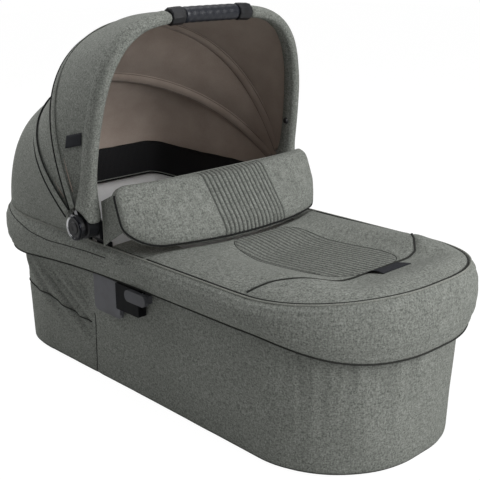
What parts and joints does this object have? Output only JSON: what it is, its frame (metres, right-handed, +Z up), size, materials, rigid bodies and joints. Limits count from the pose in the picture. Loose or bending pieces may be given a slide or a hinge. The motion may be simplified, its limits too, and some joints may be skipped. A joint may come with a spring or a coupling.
{
  "type": "baby carrycot",
  "caption": "Soft-sided carrycot with a folding hood whose front bow is the carry handle, a quilted apron with a padded wind flap, fold-down wire stands and side adaptor sockets.",
  "frame": {"origin": "middle of the ground footprint, under the base pads", "axes": "+X to the foot end, +Y to the left side, +Z up"},
  "size_m": [0.86, 0.4826, 0.6153],
  "materials": {
    "melange_cloth": "grey and green melange woven cloth, padded where quilted",
    "pale_cloth": "pale grey jersey",
    "black_mesh": "black open mesh",
    "dark_board": "moulded, fine grain",
    "rubber": "matt",
    "grey_plastic": "moulded, fine grain",
    "black_plastic": "moulded, satin",
    "leatherette": "fine pebble grain, stitched",
    "plated_steel": "zinc plated",
    "bright_chrome": "bright"
  },
  "bodies": {
    "base": {"base_board": "dark_board", "base_pad_head_left": "rubber", "base_pad_head_right": "rubber", "base_pad_foot_left": "rubber", "base_pad_foot_right": "rubber", "mattress": "pale_cloth", "skirt": "melange_cloth", "liner": "pale_cloth", "stand_bracket_head": "black_plastic", "stand_bracket_foot": "black_plastic"},
    "rim": {"rim_frame": "grey_plastic", "rim_band": "melange_cloth", "vent_band": "black_mesh", "apron": "melange_cloth", "stand_rest_head": "black_plastic", "stand_rest_foot": "black_plastic", "hub_bracket_left": "black_plastic", "hub_axle_left": "plated_steel", "hub_cap_left": "black_plastic", "hub_trim_left": "bright_chrome", "button_spring_left": "plated_steel", "adaptor_plate_left": "grey_plastic", "adaptor_socket_left": "black_plastic", "lever_spring_left": "plated_steel", "hub_bracket_right": "black_plastic", "hub_axle_right": "plated_steel", "hub_cap_right": "black_plastic", "hub_trim_right": "bright_chrome", "button_spring_right": "plated_steel", "adaptor_plate_right": "grey_plastic", "adaptor_socket_right": "black_plastic", "lever_spring_right": "plated_steel"},
    "head_stand": {"stand_head": "plated_steel"},
    "foot_stand": {"stand_foot": "plated_steel"},
    "hood_rear": {"rear_bow": "plated_steel", "canopy_back": "melange_cloth"},
    "hood_mid": {"mid_bow": "plated_steel", "canopy_middle": "melange_cloth"},
    "handle": {"handle_tube": "plated_steel", "handle_grip": "leatherette", "canopy_front": "melange_cloth", "handle_cover_left": "melange_cloth", "grip_collar_left": "black_plastic", "handle_hub_left": "black_plastic", "snap_stud_left": "black_plastic", "handle_cover_right": "melange_cloth", "grip_collar_right": "black_plastic", "handle_hub_right": "black_plastic", "snap_stud_right": "black_plastic"},
    "flap": {"wind_flap": "melange_cloth"},
    "button_left": {"hub_button_left": "black_plastic"},
    "lever_left": {"release_lever_left": "grey_plastic"},
    "button_right": {"hub_button_right": "black_plastic"},
    "lever_right": {"release_lever_right": "grey_plastic"}
  },
  "joints": [
    {"name": "rim_drop", "type": "slide", "parent": "base", "child": "rim", "axis": [0, 0, -1], "range_m": [0, 0.12], "deforming": ["skirt", "liner"]},
    {"name": "head_stand_fold", "type": "hinge", "parent": "base", "child": "head_stand", "pos_m": [-0.372, 0, 0.05], "axis": [0, 1, 0], "range_deg": [0, 88.2]},
    {"name": "foot_stand_fold", "type": "hinge", "parent": "base", "child": "foot_stand", "pos_m": [0.369, 0, 0.05], "axis": [0, -1, 0], "range_deg": [0, 88.2]},
    {"name": "hood_rear_fold", "type": "hinge", "parent": "rim", "child": "hood_rear", "pos_m": [-0.09, 0, 0.292], "axis": [0, -1, 0], "range_deg": [0, 31.5], "deforming": ["canopy_back", "vent_band"]},
    {"name": "hood_mid_fold", "type": "hinge", "parent": "hood_rear", "child": "hood_mid", "pos_m": [-0.09, 0, 0.292], "axis": [0, -1, 0], "range_deg": [0, 18], "deforming": ["canopy_middle"]},
    {"name": "handle_fold", "type": "hinge", "parent": "hood_mid", "child": "handle", "pos_m": [-0.09, 0, 0.292], "axis": [0, -1, 0], "range_deg": [0, 27.2], "deforming": ["canopy_front"]},
    {"name": "flap_fold", "type": "hinge", "parent": "rim", "child": "flap", "pos_m": [0.0751, 0, 0.2648], "axis": [0, 1, 0], "range_deg": [0, 100]},
    {"name": "button_left_press", "type": "slide", "parent": "rim", "child": "button_left", "axis": [0, -1, 0], "range_m": [0, 0.003], "stiffness_N_per_m": 900, "deforming": ["button_spring_left"]},
    {"name": "button_right_press", "type": "slide", "parent": "rim", "child": "button_right", "axis": [0, 1, 0], "range_m": [0, 0.003], "stiffness_N_per_m": 900, "deforming": ["button_spring_right"]},
    {"name": "lever_left_slide", "type": "slide", "parent": "rim", "child": "lever_left", "axis": [-1, 0, 0], "range_m": [0, 0.008], "stiffness_N_per_m": 700, "deforming": ["lever_spring_left"]},
    {"name": "lever_right_slide", "type": "slide", "parent": "rim", "child": "lever_right", "axis": [-1, 0, 0], "range_m": [0, 0.008], "stiffness_N_per_m": 700, "deforming": ["lever_spring_right"]}
  ],
  "couplings": [
    {"joint": "head_stand_fold", "follows": "rim_drop", "rad_per_m": 12.799},
    {"joint": "foot_stand_fold", "follows": "rim_drop", "rad_per_m": 12.799},
    {"joint": "hood_mid_fold", "follows": "hood_rear_fold", "ratio": 0.5713},
    {"joint": "handle_fold", "follows": "hood_rear_fold", "ratio": 0.86}
  ]
}
